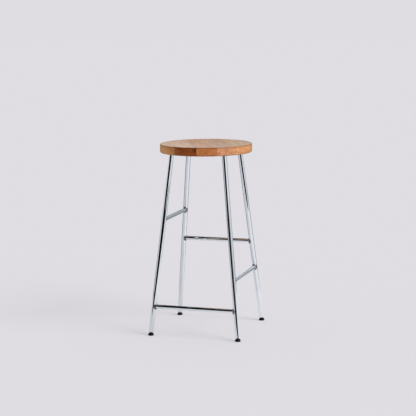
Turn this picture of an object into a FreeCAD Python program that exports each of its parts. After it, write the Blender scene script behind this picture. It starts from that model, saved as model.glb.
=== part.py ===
import FreeCAD, Part
import math
import os

from FreeCAD import Placement, Rotation, Vector

# A bar stool with rungs as footrests: a round wooden seat, glued up from five boards, on a welded
# frame of four splayed tube legs. One rung joins each pair of neighbouring legs, and the rungs
# climb round the stool in a spiral. Each leg stands on a pad that tilts on a ball stud.
#
# Millimetres. +Z is up, +Y is the back and +X the right. The origin is on the floor, in the
# middle of the four feet.

# Seat
SEAT_HEIGHT = 750.0
SEAT_DIAMETER = 365.0
SEAT_THICKNESS = 34.0
SEAT_TOP_EDGE_RADIUS = 2.5
SEAT_BOTTOM_EDGE_RADIUS = 5.0
DISH_DEPTH = 4.0
DISH_RIM_WIDTH = 10.0          # flat rim left around the dished top
BOARD_COUNT = 5
BOARD_WIDTH = 79.0             # the two outer boards are cut by the seat's edge
BOARD_ANGLE = 25.0             # degrees, from the front-to-back line to the grain
FIRST_GLUE_LINE = -139.0       # across the grain, from the seat's centre

# Welded frame
LEG_SPACING_SEAT = 215.8       # between leg axes, at the seat's underside
LEG_SPACING_FLOOR = 359.0      # between leg axes, at the floor
LEG_DIAMETER = 19.0
RUNG_DIAMETER = 16.0
TUBE_WALL = 1.5
RUNG_HEIGHTS = {"front": 115.0, "right": 229.0, "back": 338.0, "left": 459.0}
RUNG_WELD_SIZE = 4.0
PLATE_WELD_SIZE = 2.5

# Seat plate, let into the seat's underside and flush with it
PLATE_THICKNESS = 4.0
PLATE_ARM_WIDTH = 34.0
PLATE_HUB_DIAMETER = 120.0
PLATE_HUB_HOLE_DIAMETER = 60.0
PLATE_CORNER_RADIUS = 16.0
PLATE_RECESS_GAP = 0.5

# Countersunk wood screws, two through each arm of the plate
SCREW_RADII = (66.0, 112.0)    # from the seat's centre
SCREW_LENGTH = 20.0
SCREW_DIAMETER = 4.5
SCREW_HEAD_DIAMETER = 8.8
SCREW_HEAD_HEIGHT = 2.6
SCREW_TIP_LENGTH = 5.0
SCREW_SLOT_LENGTH = 4.6
SCREW_SLOT_WIDTH = 0.9
SCREW_SLOT_DEPTH = 1.5
SCREW_HOLE_GAP = 0.2

# Feet
BALL_HEIGHT = 6.6
BALL_DIAMETER = 9.0
SOCKET_GAP = 0.05
STUD_NECK_DIAMETER = 5.0
STUD_SHANK_DIAMETER = 6.0
STUD_SHANK_LENGTH = 12.0
LEG_END_ABOVE_BALL = 7.0       # along the leg
PLUG_LENGTH = 18.0
PLUG_COLLAR_DIAMETER = 14.0
PLUG_COLLAR_HEIGHT = 0.8
PLUG_CORE_DIAMETER = 13.0
PLUG_RIB_COUNT = 4
PLUG_RIB_HEIGHT = 1.6
PLUG_RIB_GAP = 0.05
PAD_DIAMETER = 22.5
PAD_TOP_DIAMETER = 13.0
PAD_HEIGHT = 10.5
PAD_RIM_HEIGHT = 2.6
PAD_BASE_CHAMFER = 0.6
PAD_DOME_BULGE = 1.1           # how far the dome's side stands out of a straight cone
PAD_LIP_HEIGHT = 2.6           # above the ball's centre
PAD_LIP_DIAMETER = 6.8
PAD_MOUTH_DIAMETER = 8.0

CORNERS = {
    "front_left": (-1, -1),
    "front_right": (1, -1),
    "back_right": (1, 1),
    "back_left": (-1, 1),
}
RUNG_CORNERS = {
    "front": ("front_left", "front_right"),
    "right": ("front_right", "back_right"),
    "back": ("back_right", "back_left"),
    "left": ("back_left", "front_left"),
}

UP = Vector(0, 0, 1)
CENTRE = Vector(0, 0, 0)
SEAT_UNDERSIDE = SEAT_HEIGHT - SEAT_THICKNESS
SEAT_RADIUS = SEAT_DIAMETER / 2
PLATE_LEG_RADIUS = LEG_SPACING_SEAT / math.sqrt(2)
FAR = 1000.0                   # longer than any part of the stool


def leg_point(corner, height):
    """The point of a leg's axis at a height above the floor."""
    share = height / SEAT_UNDERSIDE
    half_spacing = (LEG_SPACING_FLOOR + (LEG_SPACING_SEAT - LEG_SPACING_FLOOR) * share) / 2
    x_side, y_side = CORNERS[corner]
    return Vector(x_side * half_spacing, y_side * half_spacing, height)


def leg_direction(corner):
    """The unit vector up a leg's axis."""
    direction = leg_point(corner, SEAT_UNDERSIDE) - leg_point(corner, 0)
    return direction.normalize()


def foot_placement(corner):
    """The frame of a leg's foot: its origin is the ball's centre, and +Z runs up the leg."""
    return Placement(leg_point(corner, BALL_HEIGHT), Rotation(UP, leg_direction(corner)))


def rod(start, end, diameter):
    """A solid round bar between two points."""
    return Part.makeCylinder(diameter / 2, (end - start).Length, start, end - start)


def disc(diameter, bottom, top, centre=CENTRE):
    """An upright cylinder between two heights."""
    base = Vector(centre.x, centre.y, bottom)
    return Part.makeCylinder(diameter / 2, top - bottom, base)


def turned(points):
    """The solid that a closed outline of (radius, height) points makes around the Z axis."""
    corners = [Vector(radius, 0, height) for radius, height in points]
    face = Part.Face(Part.makePolygon(corners + corners[:1]))
    return face.revolve(CENTRE, UP, 360)


def common_edges(joined, first, second):
    """The edges of a joined shape that lie on the surfaces of both shapes it was made from."""
    found = []
    for edge in joined.Edges:
        low, high = edge.ParameterRange
        points = [edge.valueAt(low + (high - low) * share) for share in (0.1, 0.4, 0.8)]
        on_both = all(
            shape.distToShape(Part.Vertex(point))[0] < 1e-4
            and not shape.isInside(point, 1e-4, False)
            for point in points
            for shape in (first, second)
        )
        if on_both:
            found.append(edge)
    return found


def weld_bead(first, second, size):
    """The fillet of weld metal that runs round the line where two solids meet."""
    joined = first.fuse(second)
    filleted = joined.makeFillet(size, common_edges(joined, first, second))
    return filleted.cut(joined)


def seat_blank():
    """The whole seat, turned round and dished, before it is divided into boards."""
    blank = disc(SEAT_DIAMETER, SEAT_UNDERSIDE, SEAT_HEIGHT)
    rims = [edge for edge in blank.Edges if edge.Closed]
    top_rim = [edge for edge in rims if edge.CenterOfMass.z > SEAT_HEIGHT - 1]
    blank = blank.makeFillet(SEAT_TOP_EDGE_RADIUS, top_rim)
    rims = [edge for edge in blank.Edges if edge.Closed]
    bottom_rim = [edge for edge in rims if edge.CenterOfMass.z < SEAT_UNDERSIDE + 1]
    blank = blank.makeFillet(SEAT_BOTTOM_EDGE_RADIUS, bottom_rim)
    dish_radius = SEAT_RADIUS - DISH_RIM_WIDTH
    ball_radius = (dish_radius ** 2 + DISH_DEPTH ** 2) / (2 * DISH_DEPTH)
    ball_centre = Vector(0, 0, SEAT_HEIGHT - DISH_DEPTH + ball_radius)
    blank = blank.cut(Part.makeSphere(ball_radius, ball_centre))
    # The seam of the round faces starts at +X; turned along the grain, it stays in one board.
    blank.rotate(CENTRE, UP, BOARD_ANGLE - 90)
    return blank


def plate_blank(gap):
    """The outline of the seat plate as a solid, grown by a gap: a hub with four round-ended arms."""
    top = SEAT_UNDERSIDE + PLATE_THICKNESS
    width = PLATE_ARM_WIDTH + 2 * gap
    hub = disc(PLATE_HUB_DIAMETER + 2 * gap, SEAT_UNDERSIDE, top)
    blank = hub
    for angle in (45, 135):
        corner = Vector(-PLATE_LEG_RADIUS, -width / 2, SEAT_UNDERSIDE)
        arm = Part.makeBox(2 * PLATE_LEG_RADIUS, width, PLATE_THICKNESS, corner)
        arm.rotate(CENTRE, UP, angle)
        blank = blank.fuse(arm)
    for corner in CORNERS:
        end_centre = leg_point(corner, SEAT_UNDERSIDE)
        blank = blank.fuse(disc(width, SEAT_UNDERSIDE, top, end_centre))
    blank = blank.removeSplitter()
    hub_radius = PLATE_HUB_DIAMETER / 2 + gap
    inner_corners = [
        edge for edge in blank.Edges
        if abs(edge.tangentAt(edge.FirstParameter).z) > 0.99
        and abs(math.hypot(edge.CenterOfMass.x, edge.CenterOfMass.y) - hub_radius) < 0.01
    ]
    return blank.makeFillet(PLATE_CORNER_RADIUS - gap, inner_corners)


def screw_places():
    """The points where the screws' axes cross the seat's underside."""
    places = []
    for x_side, y_side in CORNERS.values():
        for radius in SCREW_RADII:
            offset = radius / math.sqrt(2)
            places.append(Vector(x_side * offset, y_side * offset, SEAT_UNDERSIDE))
    return places


def screw(place):
    """A countersunk wood screw with a cross recess, its head flush with the plate."""
    head = SCREW_HEAD_DIAMETER / 2
    shank = SCREW_DIAMETER / 2
    body = turned([
        (0, 0), (head, 0), (shank, SCREW_HEAD_HEIGHT),
        (shank, SCREW_LENGTH - SCREW_TIP_LENGTH), (0, SCREW_LENGTH),
    ])
    length, width, depth = SCREW_SLOT_LENGTH, SCREW_SLOT_WIDTH, SCREW_SLOT_DEPTH
    slot = Part.makeBox(length, width, 2 * depth, Vector(-length / 2, -width / 2, -depth))
    cross = slot.fuse(Part.makeBox(width, length, 2 * depth, Vector(-width / 2, -length / 2, -depth)))
    body = body.cut(cross)
    body.translate(place)
    return body


def screw_hole(place):
    """What a screw takes out of the plate: a countersink and a clearance hole."""
    head = SCREW_HEAD_DIAMETER / 2
    hole = SCREW_DIAMETER / 2 + SCREW_HOLE_GAP
    slope = SCREW_HEAD_HEIGHT / (head - SCREW_DIAMETER / 2)
    cut = turned([
        (0, 0), (head, 0), (hole, (head - hole) * slope), (hole, PLATE_THICKNESS), (0, PLATE_THICKNESS),
    ])
    cut.translate(place)
    return cut


def seat_plate():
    """The steel plate that the legs are welded to."""
    plate = plate_blank(0)
    plate = plate.cut(disc(PLATE_HUB_HOLE_DIAMETER, 0, FAR))
    for place in screw_places():
        plate = plate.cut(screw_hole(place))
    return plate


def seat_boards():
    """The boards of the seat, each one a slice of the blank along the grain."""
    blank = seat_blank().cut(plate_blank(PLATE_RECESS_GAP))
    for place in screw_places():
        blank = blank.cut(screw(place))
    glue_lines = [FIRST_GLUE_LINE + index * BOARD_WIDTH for index in range(BOARD_COUNT - 1)]
    edges = [-FAR] + glue_lines + [FAR]
    boards = []
    for low, high in zip(edges, edges[1:]):
        slab = Part.makeBox(high - low, 2 * FAR, FAR, Vector(low, -FAR, 0))
        slab.rotate(CENTRE, UP, BOARD_ANGLE)
        boards.append(blank.common(slab))
    return boards


def leg_bar(corner):
    """A leg as a solid bar, cut flat where it meets the plate."""
    start = foot_placement(corner).multVec(Vector(0, 0, LEG_END_ABOVE_BALL))
    bar = rod(start, leg_point(corner, SEAT_UNDERSIDE + LEG_DIAMETER), LEG_DIAMETER)
    return bar.cut(Part.makeBox(2 * FAR, 2 * FAR, FAR, Vector(-FAR, -FAR, SEAT_UNDERSIDE)))


def leg(corner):
    """A leg's tube."""
    bore = rod(leg_point(corner, 0), leg_point(corner, SEAT_HEIGHT), LEG_DIAMETER - 2 * TUBE_WALL)
    return leg_bar(corner).cut(bore)


def rung_ends(name):
    """The two points where a rung's axis meets the axes of its legs."""
    return [leg_point(corner, RUNG_HEIGHTS[name]) for corner in RUNG_CORNERS[name]]


def rung_bar(name):
    """A rung as a solid bar from one leg's axis to the other's."""
    start, end = rung_ends(name)
    return rod(start, end, RUNG_DIAMETER)


def rung(name):
    """A rung's tube, with both ends coped to sit on the round legs."""
    start, end = rung_ends(name)
    tube = rung_bar(name).cut(rod(start, end, RUNG_DIAMETER - 2 * TUBE_WALL))
    for corner in RUNG_CORNERS[name]:
        tube = tube.cut(leg_bar(corner))
    return tube


def rung_welds(name):
    """The bead at each end of a rung, under the name of that end."""
    start, end = rung_ends(name)
    middle = (start + end) / 2
    beads = {}
    for corner, point in zip(RUNG_CORNERS[name], (start, end)):
        half_rung = rod(point, middle, RUNG_DIAMETER)
        end_name = corner.replace(name, "").strip("_")
        beads[end_name] = weld_bead(leg_bar(corner), half_rung, RUNG_WELD_SIZE)
    return beads


def leg_weld(corner):
    """The bead that holds the top of a leg to the plate."""
    return weld_bead(plate_blank(0), leg_bar(corner), PLATE_WELD_SIZE)


def glide_stud():
    """A ball stud, in the foot's frame."""
    ball = Part.makeSphere(BALL_DIAMETER / 2)
    neck = disc(STUD_NECK_DIAMETER, 0, LEG_END_ABOVE_BALL)
    shank = disc(STUD_SHANK_DIAMETER, LEG_END_ABOVE_BALL, LEG_END_ABOVE_BALL + STUD_SHANK_LENGTH)
    return ball.fuse(neck).fuse(shank).removeSplitter()


def glide_plug():
    """The ribbed plug that holds the ball stud in a leg's bore, in the foot's frame."""
    top = LEG_END_ABOVE_BALL + PLUG_LENGTH
    plug = disc(PLUG_CORE_DIAMETER, LEG_END_ABOVE_BALL, top)
    plug = plug.fuse(disc(PLUG_COLLAR_DIAMETER, LEG_END_ABOVE_BALL - PLUG_COLLAR_HEIGHT, LEG_END_ABOVE_BALL))
    rib_diameter = LEG_DIAMETER - 2 * TUBE_WALL - 2 * PLUG_RIB_GAP
    rib_pitch = PLUG_LENGTH / PLUG_RIB_COUNT
    for index in range(PLUG_RIB_COUNT):
        rib_bottom = LEG_END_ABOVE_BALL + (index + 0.5) * rib_pitch
        plug = plug.fuse(disc(rib_diameter, rib_bottom, rib_bottom + PLUG_RIB_HEIGHT))
    return plug.cut(glide_stud()).removeSplitter()


def glide_pad(corner):
    """A domed pad that stands level on the floor, with a snap socket round the ball."""
    base = PAD_DIAMETER / 2
    top = PAD_TOP_DIAMETER / 2
    chamfer = PAD_BASE_CHAMFER
    shoulder = Vector(base, 0, PAD_RIM_HEIGHT)
    crown = Vector(top, 0, PAD_HEIGHT)
    slope = crown - shoulder
    outward = Vector(slope.z, 0, -slope.x).normalize()
    dome_middle = (shoulder + crown) / 2 + outward * PAD_DOME_BULGE
    lip_z = BALL_HEIGHT + PAD_LIP_HEIGHT
    flat_bottom = [Vector(0, 0, 0), Vector(base - chamfer, 0, 0), Vector(base, 0, chamfer), shoulder]
    inside = [
        crown, Vector(PAD_MOUTH_DIAMETER / 2, 0, PAD_HEIGHT), Vector(PAD_LIP_DIAMETER / 2, 0, lip_z),
        Vector(0, 0, lip_z), Vector(0, 0, 0),
    ]
    edges = Part.makePolygon(flat_bottom).Edges
    edges.append(Part.Arc(shoulder, dome_middle, crown).toShape())
    edges += Part.makePolygon(inside).Edges
    pad = Part.Face(Part.Wire(edges)).revolve(CENTRE, UP, 360)
    socket = Part.makeSphere(BALL_DIAMETER / 2 + SOCKET_GAP, Vector(0, 0, BALL_HEIGHT))
    pad = pad.cut(socket)
    ball_centre = leg_point(corner, BALL_HEIGHT)
    pad.translate(Vector(ball_centre.x, ball_centre.y, 0))
    return pad


def placed(shape, placement):
    """A copy of a shape, moved from the foot's frame to its leg."""
    copy = shape.copy()
    copy.Placement = placement
    return copy


def save(node, shape):
    """Write one piece, or one group of alike pieces, as parts/NODE.step."""
    if not shape.isValid() or not shape.Solids:
        raise ValueError(node + " isn't a valid solid")
    solids = shape.Solids
    shape = solids[0] if len(solids) == 1 else Part.makeCompound(solids)
    shape.exportStep(os.path.join("parts", node + ".step"))
    print(node, len(solids), "solids", round(shape.Volume), "mm3")


def main():
    os.makedirs("parts", exist_ok=True)
    for number, board in enumerate(seat_boards(), start=1):
        save("seat_board_%d" % number, board)
    save("seat_plate", seat_plate())
    save("seat_screws", Part.makeCompound([screw(place) for place in screw_places()]))
    for name in RUNG_CORNERS:
        save("rung_" + name, rung(name))
        for end_name, bead in rung_welds(name).items():
            save("rung_" + name + "_weld_" + end_name, bead)
    stud = glide_stud()
    plug = glide_plug()
    for corner in CORNERS:
        save("leg_" + corner, leg(corner))
        save("leg_weld_" + corner, leg_weld(corner))
        save("glide_plug_" + corner, placed(plug, foot_placement(corner)))
        save("glide_stud_" + corner, placed(stud, foot_placement(corner)))
        save("glide_pad_" + corner, glide_pad(corner))


main()
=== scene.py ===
import math

import bmesh
import bpy
from mathutils import Matrix, Vector


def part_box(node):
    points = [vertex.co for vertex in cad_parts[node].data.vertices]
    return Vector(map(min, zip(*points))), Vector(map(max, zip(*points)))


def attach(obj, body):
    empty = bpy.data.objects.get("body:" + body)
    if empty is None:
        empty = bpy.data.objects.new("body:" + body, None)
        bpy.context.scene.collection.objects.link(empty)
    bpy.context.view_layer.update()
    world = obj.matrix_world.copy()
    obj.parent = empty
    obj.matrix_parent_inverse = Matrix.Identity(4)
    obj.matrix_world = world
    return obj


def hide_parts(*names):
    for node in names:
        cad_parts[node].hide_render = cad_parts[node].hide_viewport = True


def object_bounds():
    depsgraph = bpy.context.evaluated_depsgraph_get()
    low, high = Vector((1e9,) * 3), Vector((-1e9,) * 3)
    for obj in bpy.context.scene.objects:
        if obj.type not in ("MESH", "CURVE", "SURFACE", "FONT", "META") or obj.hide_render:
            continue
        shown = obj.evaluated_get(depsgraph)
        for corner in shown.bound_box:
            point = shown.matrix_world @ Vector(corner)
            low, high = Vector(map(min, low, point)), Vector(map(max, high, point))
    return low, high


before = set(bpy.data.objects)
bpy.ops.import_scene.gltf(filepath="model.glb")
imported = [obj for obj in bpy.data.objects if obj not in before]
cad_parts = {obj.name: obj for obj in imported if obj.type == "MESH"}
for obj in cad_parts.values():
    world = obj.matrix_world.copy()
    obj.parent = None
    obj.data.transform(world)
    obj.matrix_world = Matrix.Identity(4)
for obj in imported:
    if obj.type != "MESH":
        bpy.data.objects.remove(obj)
cad_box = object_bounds()

# A bar stool: a round wooden seat of five boards on a chromed tube frame with four rungs.
# Metres. +Z is up, +Y is the back and +X the right, and the origin is on the floor.

LEG_SPACING_SEAT = 0.2158        # between leg axes, at the seat's underside
LEG_SPACING_FLOOR = 0.359        # between leg axes, at the floor
LEG_RADIUS = 0.0095
TUBE_WALL = 0.0015
TUBE_EDGE = 0.0003               # the small bevel on a tube's cut edges
TUBE_SIDES = 72
SHARP_ANGLE = 32                 # degrees: a sharper crease isn't shaded smooth

RUNG_WELD = 0.0050
PLATE_WELD = 0.0028
BEAD_SHARP_ANGLE = 60
BEAD_POINTS = 160                # along a bead
BEAD_STEPS = 10                  # across a bead, from toe to toe
BEAD_FULLNESS = 0.33             # 0.5 is a flat bead, and less is a hollow one
BEAD_BITE = 0.00003              # how deep its toes sit in the metal
BEAD_ROOT = 0.0002               # how far its hidden back lies behind the corner
RIPPLE_PITCH = 0.0021
RIPPLE_HEIGHT = 0.00007
RIPPLE_BOW = 0.3                 # how far a ripple bows along the bead, in ripples

BOARD_ANGLE = math.radians(25)   # from the front-to-back line to the grain
GLUE_LINES = (-0.139, -0.060, 0.019, 0.098)    # across the grain from the centre
SEAT_DIAMETER = 0.365
SEAT_TOP_EDGE = 0.0025
SEAT_BOTTOM_EDGE = 0.005
SEAT_SIDES = 288
DISH_DEPTH = 0.004
DISH_RIM = 0.010                 # flat rim left around the dished top
CUT_TOLERANCE = 1e-7

PLATE_THICKNESS = 0.004
PLATE_ARM_WIDTH = 0.034
PLATE_HUB_RADIUS = 0.060
PLATE_CORNER_RADIUS = 0.016
RECESS_GAP = 0.0005              # round the plate, in its recess
CUTTER_OVERLAP = 0.002           # how far the recess's cutter reaches below the seat

CORNERS = {
    "front_left": (-1, -1),
    "front_right": (1, -1),
    "back_right": (1, 1),
    "back_left": (-1, 1),
}
RUNG_CORNERS = {
    "front": ("front_left", "front_right"),
    "right": ("front_right", "back_right"),
    "back": ("back_right", "back_left"),
    "left": ("back_left", "front_left"),
}
SEAT_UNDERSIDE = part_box("leg_front_left")[1].z
SEAT_TOP = cad_box[1].z
GRAIN = Vector((-math.sin(BOARD_ANGLE), math.cos(BOARD_ANGLE), 0))
ACROSS = Vector((math.cos(BOARD_ANGLE), math.sin(BOARD_ANGLE), 0))
UP = Vector((0, 0, 1))


# ---------------------------------------------------------------- shader nodes

def add(tree, kind, inputs=(), **settings):
    """A shader node with its settings, and with inputs as (socket, value or socket) pairs."""
    made = tree.nodes.new("ShaderNode" + kind)
    for name, value in settings.items():
        setattr(made, name, value)
    finish(tree, made, *inputs)
    return made


def finish(tree, made, *inputs):
    """Sets a node's inputs from (socket, value or socket) pairs."""
    for socket, value in inputs:
        if isinstance(value, bpy.types.NodeSocket):
            tree.links.new(value, made.inputs[socket])
        else:
            made.inputs[socket].default_value = value


def maths(tree, operation, *values):
    return add(tree, "Math", enumerate(values), operation=operation).outputs[0]


def product(tree, first, *others):
    for other in others:
        first = maths(tree, "MULTIPLY", first, other)
    return first


def vector_maths(tree, operation, *values):
    made = add(tree, "VectorMath", enumerate(values), operation=operation)
    return made.outputs["Value" if operation in ("LENGTH", "DOT_PRODUCT") else "Vector"]


def remap(tree, value, low, high, to_low=0.0, to_high=1.0, kind="LINEAR"):
    """The value, moved from one range to another and held inside it."""
    inputs = (
        ("Value", value), ("From Min", low), ("From Max", high),
        ("To Min", to_low), ("To Max", to_high),
    )
    return add(tree, "MapRange", inputs, interpolation_type=kind).outputs[0]


def ramp(tree, value, start, full, to_start=0.0, to_full=1.0):
    """As remap, but the change starts and ends softly."""
    return remap(tree, value, start, full, to_start, to_full, "SMOOTHSTEP")


def opaque(colour):
    return colour if isinstance(colour, bpy.types.NodeSocket) else (*colour, 1)


def mix(tree, share, first, second, blend="MIX"):
    """A mix of two colours. A colour mix has its sockets at 6, 7 and, going out, 2."""
    inputs = ((0, share), (6, opaque(first)), (7, opaque(second)))
    return add(tree, "Mix", inputs, data_type="RGBA", blend_type=blend).outputs[2]


def scaled(colour, factor):
    return tuple(min(1, part * factor) for part in colour)


def grid(tree, size, turn=0.0):
    """Object coordinates counted in features of a size, along axes turned about Z."""
    place = add(tree, "TexCoord").outputs["Object"]
    inputs = ((0, place), ("Rotation", (0, 0, turn)), ("Scale", size))
    return add(tree, "Mapping", inputs, vector_type="TEXTURE").outputs[0]


def noise(tree, vector, detail=2.0, roughness=0.5):
    inputs = (("Vector", vector), ("Scale", 1.0), ("Detail", detail), ("Roughness", roughness))
    return add(tree, "TexNoise", inputs)


def marks(tree, size, detail, roughness):
    """Noise in features of a size: across the board's grain, along it and upwards."""
    return noise(tree, grid(tree, size, BOARD_ANGLE), detail, roughness).outputs[0]


def bump(tree, height, distance, strength):
    inputs = (("Height", height), ("Distance", distance), ("Strength", strength))
    return add(tree, "Bump", inputs).outputs[0]


def new_material(name):
    made = bpy.data.materials.new(name)
    made.use_nodes = True
    tree = made.node_tree
    return made, tree, tree.nodes["Principled BSDF"]


# ---------------------------------------------------------------- wood

SIDE_SHADE_TINT = (0.88, 0.68, 0.42)
KNOT = (0.085, 0.022, 0.005)
# Sizes of the wood's features: across the grain, along it and upwards.
RING_STRAY = (0.09, 0.45, 0.09)
KNOT_EDGE = (0.006, 0.012, 0.006)
FIBRES = (0.0011, 0.05, 0.0011)
STREAKS = (0.007, 0.16, 0.0035)
CLOUDS = (0.028, 0.16, 0.014)
BLOTCHES = (0.016, 0.20, 0.0055)
PORES = (0.0006, 0.009, 0.0006)
STRAY_DISTANCE = 0.035           # how far the rings stray from true circles
BOARD_STEP = 3.7                 # sets the stray of one board apart from the next one's
KNOT_SHAPE = (1, 0.45, 1.25)     # a knot is longest along the grain
GLUE_NEAR, GLUE_FAR = 0.0001, 0.0004
WOOD_RELIEF = 0.00012


def pith_distance(tree, place, pith, number):
    """How far a point is from the board's pith line, which gives the growth rings."""
    stray = noise(tree, grid(tree, RING_STRAY, BOARD_ANGLE), 2.0, 0.45)
    stray.noise_dimensions = "4D"
    stray.inputs["W"].default_value = BOARD_STEP * number
    stray = vector_maths(tree, "SUBTRACT", stray.outputs["Color"], (0.5, 0.5, 0.5))
    stray = vector_maths(tree, "MULTIPLY", stray, (STRAY_DISTANCE, 0, STRAY_DISTANCE))
    parts = add(tree, "SeparateXYZ", ((0, vector_maths(tree, "ADD", place, stray)),))
    across = maths(tree, "SUBTRACT", parts.outputs[0], pith[0])
    height = maths(tree, "SUBTRACT", parts.outputs[2], pith[1])
    squares = maths(tree, "ADD", product(tree, across, across), product(tree, height, height))
    return maths(tree, "SQRT", squares)


def knot_parts(tree, place, centre, size):
    """A knot is a branch's foot: how far it parts the rings, its dark heart and the stain round it."""
    away = vector_maths(tree, "SUBTRACT", place, centre)
    away = vector_maths(tree, "LENGTH", vector_maths(tree, "MULTIPLY", away, KNOT_SHAPE))
    away = product(tree, away, remap(tree, marks(tree, KNOT_EDGE, 2.0, 0.6), 0.2, 0.8, 0.6, 1.4))
    parting = ramp(tree, away, 0, 4 * size, 1.4 * size, 0)
    heart = ramp(tree, away, 0.45 * size, 1.15 * size, 1, 0)
    stain = ramp(tree, away, 0.8 * size, 3.2 * size, 1, 0)
    return parting, heart, stain


def oiled_and_shaded_side(tree, colour, level, late, streak, end_tone, end_shade):
    """The seat's side, tinted darker than its top as painted shade, with oil soaked into its ends and a
    painted shaded band along its edges. Gives the colour and the shares of side and end.
    """
    normal = add(tree, "NewGeometry").outputs["Normal"]
    upright = add(tree, "SeparateXYZ", ((0, normal),)).outputs[2]
    upright = maths(tree, "ABSOLUTE", upright)
    side = ramp(tree, upright, 0.75, 0.35)
    # Painted shade: the side is tinted darker and deeper than the top, for how the light falls on each.
    colour = mix(tree, product(tree, side, 0.85), colour, SIDE_SHADE_TINT, "MULTIPLY")

    # Most oil soaks in where the fibres end, above all in blotches and in the dark of each ring.
    facing = vector_maths(tree, "DOT_PRODUCT", normal, GRAIN)
    end = ramp(tree, maths(tree, "ABSOLUTE", facing), 0.25, 0.75)
    soaked = product(tree, end, remap(tree, streak, 0.30, 0.60, 0.87 * end_shade, end_shade))
    blotch = marks(tree, BLOTCHES, 3.0, 0.6)
    dark_marks = maths(tree, "MAXIMUM", product(tree, late, 0.75), remap(tree, blotch, 0.50, 0.66, 0, 0.9))
    ends = mix(tree, dark_marks, end_tone, scaled(end_tone, 0.52))
    ends = mix(tree, remap(tree, blotch, 0.46, 0.34, 0, 0.7), ends, scaled(end_tone, 1.45))
    colour = mix(tree, soaked, colour, ends)

    # Painted shade: a dark band along its upper and its lower edge stands in for the shade on the rounded
    # edges.
    upper = ramp(tree, level, SEAT_TOP - 0.0075, SEAT_TOP - 0.003)
    lower = ramp(tree, level, SEAT_UNDERSIDE + 0.0065, SEAT_UNDERSIDE + 0.002)
    painted_edge_shade = product(tree, maths(tree, "MAXIMUM", upper, lower), remap(tree, upright, 0.97, 0.75),
                   remap(tree, streak, 0.35, 0.6, 0.35, 0.75))
    return mix(tree, painted_edge_shade, colour, scaled(end_tone, 0.4)), side, end


def wood(number, pith, tone, ring, end_tone, end_shade, knot):
    """One board of the seat: growth rings round a pith line, fibres, pores, a knot, an oiled finish and
    painted shade on its side.
    """
    made, tree, shader = new_material("wood_board_%d" % number)
    place = grid(tree, (1, 1, 1), BOARD_ANGLE)
    across, _, level = add(tree, "SeparateXYZ", ((0, place),)).outputs
    parting, heart, stain = knot_parts(tree, place, *knot)
    radius = maths(tree, "ADD", pith_distance(tree, place, pith, number), parting)

    # A ring darkens slowly as the tree's year goes on, and ends at once.
    season = maths(tree, "FRACT", maths(tree, "DIVIDE", radius, ring))
    late = product(tree, ramp(tree, season, 0.25, 0.9), ramp(tree, season, 1.0, 0.93))
    fibre = marks(tree, FIBRES, 3.0, 0.6)
    streak = marks(tree, STREAKS, 3.0, 0.6)
    cloud = marks(tree, CLOUDS, 2.0, 0.5)
    pore = remap(tree, marks(tree, PORES, 1.0, 0.4), 0.60, 0.70)
    pore = product(tree, pore, remap(tree, season, 0.55, 0.2))

    light, dark = tone
    colour = mix(tree, remap(tree, late, 0, 1, 0.05, 0.65), light, dark)
    # Each mark: where it starts and is full, how much it then shows, and its part of the dark tone.
    for mark, start, full, most, shade in (
        (streak, 0.42, 0.70, 0.75, 1),
        (cloud, 0.42, 0.68, 0.45, 0.66),
        (fibre, 0.40, 0.75, 0.25, 0.5),
        (pore, 0, 1, 0.5, 0.30),
    ):
        colour = mix(tree, remap(tree, mark, start, full, 0, most), colour, scaled(dark, shade))
    colour, side, end = oiled_and_shaded_side(tree, colour, level, late, streak, end_tone, end_shade)
    colour = mix(tree, product(tree, stain, 0.6), colour, scaled(end_tone, 0.45))
    colour = mix(tree, product(tree, heart, 0.85), colour, KNOT)

    # A thin dark line of glue shows where two boards meet.
    for line in GLUE_LINES:
        gap = maths(tree, "ABSOLUTE", maths(tree, "SUBTRACT", across, line))
        colour = mix(tree, remap(tree, gap, GLUE_NEAR, GLUE_FAR, 0.55, 0), colour, scaled(dark, 0.25))

    rough = maths(tree, "ADD", remap(tree, fibre, 0.3, 0.7, 0.46, 0.60), product(tree, end, 0.06))
    relief = maths(tree, "SUBTRACT", product(tree, fibre, 0.5), pore)
    relief = maths(tree, "ADD", relief, product(tree, late, 0.3))
    finish(
        tree, shader,
        ("Base Color", colour),
        ("Roughness", rough),
        ("Normal", bump(tree, relief, WOOD_RELIEF, 0.6)),
        ("Coat Weight", remap(tree, side, 0, 1, 0.55, 0.06)),
        ("Coat Roughness", 0.20),
        ("Specular IOR Level", remap(tree, side, 0, 1, 0.25, 0.10)),
    )
    return made


# ---------------------------------------------------------------- metal and plastic

def chrome(name, bright, dull, polish, grind, relief):
    """Chrome plate with faint smudges. The more grind, the more the plating shows the metal under it."""
    made, tree, shader = new_material(name)
    smudge = noise(tree, grid(tree, (0.03, 0.03, 0.05)), 3.0, 0.6).outputs[0]
    hair = noise(tree, grid(tree, (0.0009, 0.0009, 0.02)), 2.0, 0.6).outputs[0]
    smudge = ramp(tree, smudge, 0.45, 0.75)
    rough = maths(tree, "ADD", product(tree, smudge, 0.03), polish)
    rough = maths(tree, "ADD", rough, product(tree, hair, grind))
    colour = mix(tree, product(tree, smudge, 0.5), bright, dull)
    finish(tree, shader, ("Base Color", colour), ("Metallic", 1.0), ("Roughness", rough),
           ("Normal", bump(tree, hair, relief, 0.3)))
    return made


def zinc(name, bright, dull):
    """Turned and zinc plated steel."""
    made, tree, shader = new_material(name)
    blotch = noise(tree, grid(tree, (0.004, 0.004, 0.004)), 3.0, 0.6).outputs[0]
    finish(tree, shader, ("Base Color", mix(tree, blotch, dull, bright)), ("Metallic", 1.0),
           ("Roughness", remap(tree, blotch, 0.3, 0.7, 0.25, 0.42)))
    return made


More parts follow.
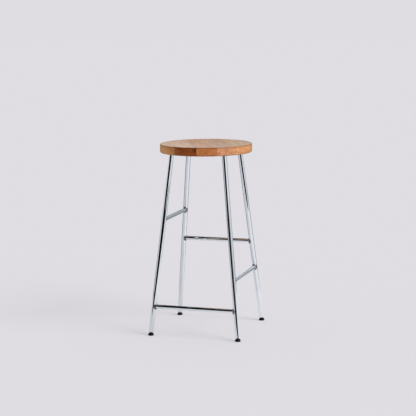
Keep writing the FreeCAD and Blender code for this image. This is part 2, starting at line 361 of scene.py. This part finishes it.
def plastic(name, colour, rough, grain_size, shine):
    """Moulded plastic with a fine spark-eroded skin."""
    made, tree, shader = new_material(name)
    pits = noise(tree, grid(tree, (grain_size,) * 3), 2.0, 0.6).outputs[0]
    scuff = noise(tree, grid(tree, (0.004, 0.004, 0.002)), 3.0, 0.6).outputs[0]
    paint = mix(tree, remap(tree, scuff, 0.4, 0.8), colour, scaled(colour, 2.2))
    finish(tree, shader, ("Base Color", paint), ("Specular IOR Level", shine),
           ("Roughness", remap(tree, scuff, 0.3, 0.8, rough, rough + 0.14)),
           ("Normal", bump(tree, pits, grain_size * 0.25, 0.35)))
    return made


# ---------------------------------------------------------------- lines and rings

def leg_point(corner, height):
    """The point of a leg's axis at a height above the floor."""
    share = height / SEAT_UNDERSIDE
    half = (LEG_SPACING_FLOOR + (LEG_SPACING_SEAT - LEG_SPACING_FLOOR) * share) / 2
    x_side, y_side = CORNERS[corner]
    return Vector((x_side * half, y_side * half, height))


def leg_direction(corner):
    return (leg_point(corner, SEAT_UNDERSIDE) - leg_point(corner, 0)).normalized()


def way_out(point, direction, corner):
    """How far along a line from inside a leg the line leaves the leg's round surface."""
    axis = leg_direction(corner)
    offset = point - leg_point(corner, 0)
    offset -= offset.dot(axis) * axis
    across = direction - direction.dot(axis) * axis
    along, square = offset.dot(across), across.length_squared
    return (-along + math.sqrt(along ** 2 - square * (offset.length_squared - LEG_RADIUS ** 2))) / square


def onto_rod(point, start, axis, radius):
    """The nearest point on a round surface about an axis."""
    foot = start + (point - start).dot(axis) * axis
    return foot + (point - foot).normalized() * radius


def circle(centre, axis, radius, count):
    """Points round an axis, the first on the side of +Z or, for an upright axis, +X."""
    first = UP - axis.z * axis
    if first.length < 0.3:
        first = Vector((1, 0, 0)) - axis.x * axis
    first.normalize()
    second = axis.cross(first)
    turns = [2 * math.pi * index / count for index in range(count)]
    return [centre + radius * (math.cos(turn) * first + math.sin(turn) * second) for turn in turns]


def arc(centre, radius, start, end, steps):
    """Points round a part of a circle, between two angles in degrees."""
    turns = [math.radians(start + (end - start) * step / steps) for step in range(steps + 1)]
    return [(centre[0] + radius * math.cos(turn), centre[1] + radius * math.sin(turn)) for turn in turns]


def new_piece(name, made):
    """An object from a bmesh, which is freed."""
    mesh = bpy.data.meshes.new(name)
    made.to_mesh(mesh)
    made.free()
    piece = bpy.data.objects.new(name, mesh)
    bpy.context.scene.collection.objects.link(piece)
    return piece


def skin(name, rings, material, body, replaced, sharp=SHARP_ANGLE):
    """A closed mesh through rings of points, the last ring joined to the first."""
    made = bmesh.new()
    rows = [[made.verts.new(point) for point in ring] for ring in rings]
    for row, following in zip(rows, rows[1:] + rows[:1]):
        for index in range(len(row)):
            after = (index + 1) % len(row)
            made.faces.new((row[index], row[after], following[after], following[index]))
    bmesh.ops.recalc_face_normals(made, faces=made.faces)
    piece = new_piece(name, made)
    piece.data.shade_smooth()
    piece.data.set_sharp_from_angle(angle=math.radians(sharp))
    piece.data.materials.append(material)
    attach(piece, body)
    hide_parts(replaced)


# ---------------------------------------------------------------- tubes

def tube_rings(start, axis, radius, near, far):
    """The rings of a tube: near and far give where the line from a point along the axis is cut."""
    def ring(size, cut, inset):
        points = circle(start, axis, size, TUBE_SIDES)
        return [point + axis * (cut(point) + inset) for point in points]
    inner = radius - TUBE_WALL
    edge = TUBE_EDGE
    return [
        ring(radius, near, edge), ring(radius, far, -edge), ring(radius - edge, far, 0),
        ring(inner + edge, far, 0), ring(inner, far, -edge),
        ring(inner, near, edge), ring(inner + edge, near, 0), ring(radius - edge, near, 0),
    ]


def leg(corner, material):
    node = "leg_" + corner
    axis = leg_direction(corner)
    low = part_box(node)[0].z
    # The lower end is cut square: its lowest point is a radius out from the axis.
    foot = leg_point(corner, low + LEG_RADIUS * math.sqrt(1 - axis.z ** 2))
    rings = tube_rings(foot, axis, LEG_RADIUS, lambda point: 0.0,
                       lambda point: (SEAT_UNDERSIDE - point.z) / axis.z)
    skin("tube_" + node, rings, material, "stool", node)


def rung_axis(name):
    """A rung's two ends, on the axes of its legs, and its radius."""
    low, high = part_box("rung_" + name)
    height = (low.z + high.z) / 2
    start, end = (leg_point(corner, height) for corner in RUNG_CORNERS[name])
    return start, end, (high.z - low.z) / 2


def rung(name, material):
    node = "rung_" + name
    near, far = RUNG_CORNERS[name]
    start, end, radius = rung_axis(name)
    axis = (end - start).normalized()
    length = (end - start).length
    rings = tube_rings(start, axis, radius, lambda point: way_out(point, axis, near),
                       lambda point: length - way_out(point + axis * length, -axis, far))
    skin("tube_" + node, rings, material, "stool", node)


# ---------------------------------------------------------------- welds

def bead_rings(line, first_ways, second_ways, size, settle):
    """The rings of a weld bead along a closed line, with the ripples that the welder's hand leaves."""
    lengths = [(line[index] - line[index - 1]).length for index in range(len(line))]
    round_length = sum(lengths)
    waves = round(round_length / RIPPLE_PITCH)
    rows = [[] for _ in range(BEAD_STEPS + 2)]
    gone = 0.0
    for point, first, second, length in zip(line, first_ways, second_ways, lengths):
        gone += length
        control = point + (first + second) * size * BEAD_FULLNESS
        toes = point + first * size, point + second * size
        out = (first + second).normalized()
        for step in range(BEAD_STEPS + 1):
            share = step / BEAD_STEPS
            spot = toes[0] * (1 - share) ** 2 + control * 2 * share * (1 - share) + toes[1] * share ** 2
            bow = 4 * share * (1 - share)
            phase = waves * gone / round_length + RIPPLE_BOW * bow
            lift = RIPPLE_HEIGHT * bow * (1 - 2 * abs(phase % 1 - 0.5)) * 2
            rows[step].append(settle(spot + out * lift, step))
        rows[-1].append(point - out * BEAD_ROOT)
    return rows


def rung_weld(name, corner, material):
    """The bead where a rung meets a leg."""
    node = "rung_%s_weld_%s" % (name, corner.replace(name, "").strip("_"))
    start, end, radius = rung_axis(name)
    if corner == RUNG_CORNERS[name][1]:
        start, end = end, start
    axis = (end - start).normalized()
    base = leg_point(corner, 0)
    leg_axis = leg_direction(corner)
    line = [point + axis * way_out(point, axis, corner)
            for point in circle(start, axis, radius, BEAD_POINTS)]
    second_ways = []
    for index, point in enumerate(line):
        along = (line[(index + 1) % BEAD_POINTS] - line[index - 1]).normalized()
        leg_normal = point - base - (point - base).dot(leg_axis) * leg_axis
        away = leg_normal.normalized().cross(along).normalized()
        rung_normal = point - start - (point - start).dot(axis) * axis
        second_ways.append(-away if away.dot(rung_normal) < 0 else away)

    def settle(point, step):
        if step == 0:
            return onto_rod(point, start, axis, radius - BEAD_BITE)
        if step == BEAD_STEPS:
            return onto_rod(point, base, leg_axis, LEG_RADIUS - BEAD_BITE)
        return point

    rings = bead_rings(line, [axis] * BEAD_POINTS, second_ways, RUNG_WELD, settle)
    skin("bead_" + node, rings, material, "stool", node, BEAD_SHARP_ANGLE)


def leg_weld(corner, material):
    """The bead where a leg meets the seat plate."""
    node = "leg_weld_" + corner
    axis = leg_direction(corner)
    base = leg_point(corner, 0)
    centre = leg_point(corner, SEAT_UNDERSIDE)
    line = [point + axis * (SEAT_UNDERSIDE - point.z) / axis.z
            for point in circle(base, axis, LEG_RADIUS, BEAD_POINTS)]
    second_ways = [(point - centre).normalized() for point in line]

    def settle(point, step):
        if step == 0:
            return onto_rod(point, base, axis, LEG_RADIUS - BEAD_BITE)
        if step == BEAD_STEPS:
            return Vector((point.x, point.y, SEAT_UNDERSIDE + BEAD_BITE))
        return point

    rings = bead_rings(line, [-axis] * BEAD_POINTS, second_ways, PLATE_WELD, settle)
    skin("bead_" + node, rings, material, "stool", node, BEAD_SHARP_ANGLE)


# ---------------------------------------------------------------- the seat

def seat_section():
    """The seat's outline as distances from its axis and heights, from the dish to the underside."""
    radius = SEAT_DIAMETER / 2
    inner = radius - SEAT_BOTTOM_EDGE
    side_top = SEAT_TOP - SEAT_TOP_EDGE
    side_bottom = SEAT_UNDERSIDE + SEAT_BOTTOM_EDGE
    dish = radius - DISH_RIM
    ball = (dish ** 2 + DISH_DEPTH ** 2) / (2 * DISH_DEPTH)
    dish_steps, side_steps, under_steps = 24, 6, 12
    steps = [dish * step / dish_steps for step in range(dish_steps + 1)]
    points = [(step, SEAT_TOP - DISH_DEPTH + ball - math.sqrt(ball ** 2 - step ** 2)) for step in steps]
    points += arc((radius - SEAT_TOP_EDGE, side_top), SEAT_TOP_EDGE, 90, 0, steps=8)
    points += [(radius, side_top + (side_bottom - side_top) * step / side_steps)
               for step in range(1, side_steps)]
    points += arc((inner, side_bottom), SEAT_BOTTOM_EDGE, 0, -90, steps=10)
    return points + [(inner * (1 - step / under_steps), SEAT_UNDERSIDE)
                     for step in range(1, under_steps + 1)]


def seat_blank():
    """The whole seat, turned round, before it is cut into boards."""
    made = bmesh.new()
    rows = []
    for radius, height in seat_section():
        centre = Vector((0, 0, height))
        if radius < 1e-6:
            rows.append([made.verts.new(centre)] * SEAT_SIDES)
        else:
            rows.append([made.verts.new(point) for point in circle(centre, UP, radius, SEAT_SIDES)])
    for row, following in zip(rows, rows[1:]):
        for index in range(SEAT_SIDES):
            after = (index + 1) % SEAT_SIDES
            corners = dict.fromkeys((row[index], row[after], following[after], following[index]))
            made.faces.new(tuple(corners))
    bmesh.ops.recalc_face_normals(made, faces=made.faces)
    return new_piece("seat_blank", made)


def recess_outline():
    """The outline of the plate's recess: a hub with four round-ended arms and rounded inner corners."""
    half = PLATE_ARM_WIDTH / 2 + RECESS_GAP
    hub = PLATE_HUB_RADIUS + RECESS_GAP
    corner = PLATE_CORNER_RADIUS - RECESS_GAP
    reach = math.hypot(LEG_SPACING_SEAT / 2, LEG_SPACING_SEAT / 2)
    along = math.sqrt((hub + corner) ** 2 - (half + corner) ** 2)
    lean = math.degrees(math.atan2(half + corner, along))
    arm = arc((along, -half - corner), corner, 180 - lean, 90, steps=8)
    arm += arc((reach, 0), half, -90, 90, steps=24)
    arm += arc((along, half + corner), corner, 270, 180 + lean, steps=8)
    arm += arc((0, 0), hub, lean, 90 - lean, steps=12)[1:-1]
    outline = []
    for quarter in range(4):
        turn = Matrix.Rotation(math.radians(45 + 90 * quarter), 3, "Z")
        outline += [turn @ Vector((x, y, 0)) for x, y in arm]
    return outline


def recess_cutter():
    made = bmesh.new()
    outline = recess_outline()
    levels = (SEAT_UNDERSIDE - CUTTER_OVERLAP, SEAT_UNDERSIDE + PLATE_THICKNESS)
    low, high = [[made.verts.new((point.x, point.y, level)) for point in outline] for level in levels]
    made.faces.new(low)
    made.faces.new(high)
    for index in range(len(low)):
        made.faces.new((low[index - 1], low[index], high[index], high[index - 1]))
    bmesh.ops.recalc_face_normals(made, faces=made.faces)
    return new_piece("recess_cutter", made)


def cut_off(made, limit, out):
    """Cuts away what lies beyond a line across the grain, and closes the cut."""
    geometry = list(made.verts) + list(made.edges) + list(made.faces)
    cut = bmesh.ops.bisect_plane(made, geom=geometry, dist=CUT_TOLERANCE, plane_co=ACROSS * limit,
                                 plane_no=out, clear_outer=True)
    rim = [part for part in cut["geom_cut"] if isinstance(part, bmesh.types.BMEdge)]
    bmesh.ops.triangle_fill(made, edges=rim, use_beauty=True, normal=out)


def seat_boards(materials):
    """The seat's boards: the blank, let in for the plate and screws and cut along the glue lines."""
    blank = seat_blank()
    cutter = recess_cutter()
    for tool in (cutter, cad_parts["seat_screws"]):
        change = blank.modifiers.new("cut", "BOOLEAN")
        change.operation = "DIFFERENCE"
        change.solver = "EXACT"
        change.object = tool
    whole = bpy.data.meshes.new_from_object(blank.evaluated_get(bpy.context.evaluated_depsgraph_get()))
    limits = (None,) + GLUE_LINES + (None,)
    for number, (low, high, material) in enumerate(zip(limits, limits[1:], materials), start=1):
        made = bmesh.new()
        made.from_mesh(whole)
        if low is not None:
            cut_off(made, low, -ACROSS)
        if high is not None:
            cut_off(made, high, ACROSS)
        bmesh.ops.recalc_face_normals(made, faces=made.faces)
        for face in made.faces:
            # The underside and the glued faces are flat.
            face.smooth = face.normal.z > -0.999 and abs(face.normal.dot(ACROSS)) < 0.9999
        piece = new_piece("board_%d" % number, made)
        piece.data.set_sharp_from_angle(angle=math.radians(SHARP_ANGLE))
        piece.data.materials.clear()
        piece.data.materials.append(material)
        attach(piece, "stool")
        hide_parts("seat_board_%d" % number)
    for scrap in (blank, cutter):
        bpy.data.objects.remove(scrap)


# ---------------------------------------------------------------- the stool

def dress(nodes, material):
    """Gives CAD nodes a material."""
    for name in nodes:
        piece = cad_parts[name]
        for place in piece.material_slots:
            place.link = "OBJECT"
            place.material = material


# For each board: its pith line (across the grain, height), light and dark tones, ring width, the
# colour of its ends and how much they show it, and a knot's place (across, along, height) and size.
BOARDS = (
    ((-0.21, 0.62), ((0.85, 0.57, 0.33), (0.61, 0.320, 0.150)), 0.0052,
     (0.52, 0.185, 0.055), 0.74, ((-0.150, 0.06, 0.752), 0.0020)),
    ((-0.085, 0.66), ((0.84, 0.56, 0.32), (0.58, 0.300, 0.140)), 0.0043,
     (0.31, 0.068, 0.008), 0.99, ((-0.064, -0.169, 0.740), 0.0068)),
    ((0.01, 0.84), ((0.80, 0.430, 0.180), (0.52, 0.210, 0.068)), 0.0048,
     (0.57, 0.200, 0.064), 0.92, ((-0.020, 0.09, 0.752), 0.0024)),
    ((0.07, 0.63), ((0.74, 0.420, 0.180), (0.50, 0.220, 0.080)), 0.0055,
     (0.72, 0.335, 0.170), 0.90, ((0.072, -0.08, 0.756), 0.0022)),
    ((0.16, 0.86), ((0.74, 0.480, 0.225), (0.52, 0.260, 0.105)), 0.0046,
     (0.78, 0.350, 0.165), 0.85, ((0.125, 0.02, 0.735), 0.0020)),
)


def make_stool():
    seat_boards([wood(number, *board) for number, board in enumerate(BOARDS, start=1)])
    tube_chrome = chrome("chrome_tube", bright=(0.845, 0.895, 0.935), dull=(0.81, 0.85, 0.88),
                         polish=0.02, grind=0.02, relief=0.00001)
    # The welds' chrome is far darker than the tube's: partly the duller plating of a weld, partly painted
    # shade for the shade and dark reflections in its ripples.
    weld_chrome = chrome("chrome_weld", bright=(0.18, 0.185, 0.20), dull=(0.07, 0.07, 0.08),
                         polish=0.16, grind=0.14, relief=0.00006)
    satin_chrome = chrome("chrome_satin", bright=(0.78, 0.80, 0.82), dull=(0.66, 0.68, 0.70),
                          polish=0.22, grind=0.12, relief=0.00003)
    white_zinc = zinc("zinc", bright=(0.66, 0.66, 0.62), dull=(0.52, 0.53, 0.52))
    black_zinc = zinc("black_zinc", bright=(0.07, 0.07, 0.075), dull=(0.04, 0.04, 0.045))
    nylon = plastic("nylon", colour=(0.012, 0.012, 0.013), rough=0.42, grain_size=0.0004, shine=0.4)
    pad = plastic("pad", colour=(0.003, 0.003, 0.0035), rough=0.26, grain_size=0.0003, shine=0.15)
    dress(["seat_plate"], satin_chrome)
    dress(["seat_screws"], white_zinc)
    for corner in CORNERS:
        dress(["glide_stud_" + corner], black_zinc)
        dress(["glide_plug_" + corner], nylon)
        dress(["glide_pad_" + corner], pad)
        leg(corner, tube_chrome)
        leg_weld(corner, weld_chrome)
    for name, ends in RUNG_CORNERS.items():
        rung(name, tube_chrome)
        for corner in ends:
            rung_weld(name, corner, weld_chrome)


# ---------------------------------------------------------------- stage

CAMERA_AZIMUTH = math.radians(17.61)
CAMERA_DISTANCE = 4.909          # level, from the stool's axis
CAMERA_HEIGHT = 1.240
CAMERA_AIM_HEIGHT = 0.4898
CAMERA_AIM_RIGHT = 0.0058
CAMERA_ROLL = math.radians(-0.5)
CAMERA_LENS = 107.54
CAMERA_SENSOR = 36
CAMERA_CLIP = (0.05, 200)

PAPER_REACH = 60
PAPER_COLOUR = (0.52, 0.511, 0.537)
PAPER_GLOW = (0.260, 0.256, 0.268)
MOTTLE_SIZE = 0.5
BLACK_CARD = (0.008, 0.008, 0.009)
# The chrome sees these cards in place of the paper. Each is a rectangle square to the view, with two
# corners given as distances to the right of the stool and behind it. A later one hides those before.
CARDS = (
    ("pale_floor", (-9, -9), (9, 9), (0.95, 0.94, 0.96)),
    ("grey_floor_back", (-9, 0.7), (9, 9), (0.29, 0.31, 0.34)),
    ("dark_floor_front", (-3.2, -4.8), (3.4, -1.75), BLACK_CARD),
    ("dark_floor_far", (-9, -9), (2.2, -4.6), BLACK_CARD),
    ("dark_floor_left", (-9, -5), (-1.6, -1.4), BLACK_CARD),
)
CARD_GAP = 0.0004
CARD_FALL_OFF = 0.72             # how bright a card is left of the stool
FALL_OFF_LEFT, FALL_OFF_RIGHT = -0.5, 0.6

# The studio that the chrome sees.
WALL = (0.74, 0.735, 0.76)
GREY_WALL = (0.36, 0.38, 0.42)
DIM_WALL = (0.12, 0.115, 0.115)
LIGHT_BOX = (1.02, 1.01, 1.01)
LIGHT_BOX_FOOT = (0.50, 0.51, 0.54)
LOW_WALL = (0.27, 0.275, 0.29)
DARKNESS = (0.008, 0.008, 0.010)
# The light that falls on the stool and the paper, and what the camera sees behind them.
SOFT_LIGHT = (0.69, 0.69, 0.70)
SOFT_DARK = (0.10, 0.10, 0.10)
BACKDROP = (0.738, 0.723, 0.760)

KEY_ENERGY = 1.60
KEY_COLOUR = (1.0, 0.985, 0.97)
KEY_WIDTH = math.radians(38)
KEY_SIDE = math.radians(60)      # to the right of the camera
KEY_LIFT = math.radians(34)

to_camera = Vector((math.sin(CAMERA_AZIMUTH), -math.cos(CAMERA_AZIMUTH), 0))
to_right = Vector((math.cos(CAMERA_AZIMUTH), math.sin(CAMERA_AZIMUTH), 0))


def level_sheet(name, low, high, height, turn, material):
    """A level rectangle on the stage."""
    corners = ((low[0], low[1]), (high[0], low[1]), (high[0], high[1]), (low[0], high[1]))
    mesh = bpy.data.meshes.new(name)
    mesh.from_pydata([(x, y, height) for x, y in corners], [], [(0, 1, 2, 3)])
    mesh.materials.append(material)
    made = bpy.data.objects.new(name, mesh)
    made.rotation_euler.z = turn
    bpy.context.scene.collection.objects.link(made)
    return made


def make_stage():
    made, tree, shader = new_material("paper")
    mottle = noise(tree, grid(tree, (MOTTLE_SIZE,) * 3)).outputs[0]
    tint = mix(tree, remap(tree, mottle, 0.3, 0.7, 0, 0.02), PAPER_COLOUR, scaled(PAPER_COLOUR, 0.9))
    finish(tree, shader, ("Base Color", tint), ("Roughness", 1.0), ("Specular IOR Level", 0.0),
           ("Emission Color", opaque(PAPER_GLOW)), ("Emission Strength", 1.0))
    reach = (PAPER_REACH, PAPER_REACH)
    paper = level_sheet("floor", (-PAPER_REACH, -PAPER_REACH), reach, 0, 0, made)
    paper.visible_glossy = False
    for layer, (name, low, high, shade) in enumerate(CARDS, start=1):
        made, tree, shader = new_material(name)
        right = add(tree, "SeparateXYZ", ((0, grid(tree, (1, 1, 1))),)).outputs[0]
        # Painted light: each card is painted darker to the left of the stool, as if the light from the
        # right fell off across it.
        lit = ramp(tree, right, FALL_OFF_LEFT, FALL_OFF_RIGHT)
        tint = mix(tree, lit, scaled(shade, CARD_FALL_OFF), shade)
        finish(tree, shader, ("Base Color", tint), ("Roughness", 1.0), ("Specular IOR Level", 0.0))
        card = level_sheet(name, low, high, CARD_GAP * layer, CAMERA_AZIMUTH, made)
        card.visible_camera = False
        card.visible_diffuse = False
        card.visible_shadow = False
        card.visible_transmission = False


def make_world():
    """Bright walls, a light box right of the camera, and darkness overhead and on the left."""
    world = bpy.data.worlds.new("studio")
    bpy.context.scene.world = world
    world.use_nodes = True
    tree = world.node_tree
    tree.nodes.clear()
    way = add(tree, "TexCoord").outputs["Generated"]
    inputs = ((0, way), ("Rotation", (0, 0, -CAMERA_AZIMUTH)))
    way = add(tree, "Mapping", inputs, vector_type="VECTOR").outputs[0]
    right, back, up = add(tree, "SeparateXYZ", ((0, way),)).outputs
    # The turn is 0 towards the camera and grows to the right, and up is the sine of the height angle.
    turn = maths(tree, "ARCTAN2", right, maths(tree, "MULTIPLY", back, -1.0))
    turn_either_way = maths(tree, "ABSOLUTE", turn)

    # The right edge of the darkness is furthest right just above the level.
    edge = maths(tree, "SUBTRACT", turn, remap(tree, up, -0.01, 0.005, 0.35, 0.65))
    edge = maths(tree, "ADD", edge, remap(tree, up, 0.025, 0.045, 0, 0.40))
    edge = maths(tree, "ADD", edge, remap(tree, up, 0.10, 0.13, 0, -0.10))
    left_front = product(tree, ramp(tree, turn, -1.22, -1.06), ramp(tree, edge, 0.04, -0.04))
    overhead = product(tree, ramp(tree, up, 0.50, 0.68), ramp(tree, right, 0.35, 0.1))
    dark = maths(tree, "MAXIMUM", left_front, overhead)

    grey = product(tree, ramp(tree, turn, 1.6, 2.1), ramp(tree, turn, 2.85, 2.6))
    dim = product(tree, ramp(tree, turn_either_way, 2.88, 2.98), ramp(tree, up, 0.12, 0.27))
    box = product(tree, ramp(tree, turn, -0.6, -0.4), ramp(tree, turn, 0.95, 0.75))
    box_foot = product(tree, box, ramp(tree, up, 0.125, 0.095))
    low = product(tree, ramp(tree, turn, 0.95, 0.6), ramp(tree, up, 0.075, 0.045),
                  ramp(tree, turn, 0.0, 0.1))
    shine = WALL
    for share, colour in (
        (grey, GREY_WALL), (dim, DIM_WALL), (box, LIGHT_BOX), (box_foot, LIGHT_BOX_FOOT),
        (low, LOW_WALL), (dark, DARKNESS),
    ):
        shine = mix(tree, share, shine, colour)

    soft = mix(tree, product(tree, left_front, 0.35), SOFT_LIGHT, SOFT_DARK)
    path = add(tree, "LightPath").outputs
    lit = mix(tree, path["Is Glossy Ray"], soft, shine)
    seen = mix(tree, path["Is Camera Ray"], lit, BACKDROP)
    background = add(tree, "Background", ((0, seen), (1, 1.0)))
    output = add(tree, "OutputWorld")
    tree.links.new(background.outputs[0], output.inputs[0])


def make_light():
    lamp = bpy.data.lights.new("key", "SUN")
    lamp.energy = KEY_ENERGY
    lamp.angle = KEY_WIDTH
    lamp.color = KEY_COLOUR
    key = bpy.data.objects.new("key", lamp)
    bpy.context.scene.collection.objects.link(key)
    level = math.cos(KEY_SIDE) * to_camera + math.sin(KEY_SIDE) * to_right
    source = math.cos(KEY_LIFT) * level + math.sin(KEY_LIFT) * UP
    key.rotation_mode = "QUATERNION"
    key.rotation_quaternion = source.to_track_quat("Z", "Y")


def make_camera():
    data = bpy.data.cameras.new("camera")
    data.lens = CAMERA_LENS
    data.sensor_width = CAMERA_SENSOR
    data.clip_start, data.clip_end = CAMERA_CLIP
    camera = bpy.data.objects.new("camera", data)
    bpy.context.scene.collection.objects.link(camera)
    place = to_camera * CAMERA_DISTANCE + UP * CAMERA_HEIGHT
    aim = to_right * CAMERA_AIM_RIGHT + UP * CAMERA_AIM_HEIGHT
    turn = (aim - place).to_track_quat("-Z", "Y").to_matrix().to_4x4()
    camera.matrix_world = Matrix.Translation(place) @ turn @ Matrix.Rotation(CAMERA_ROLL, 4, "Z")
    bpy.context.scene.camera = camera


make_stool()
make_stage()
make_world()
make_light()
make_camera()
bpy.context.scene.view_settings.view_transform = "Standard"
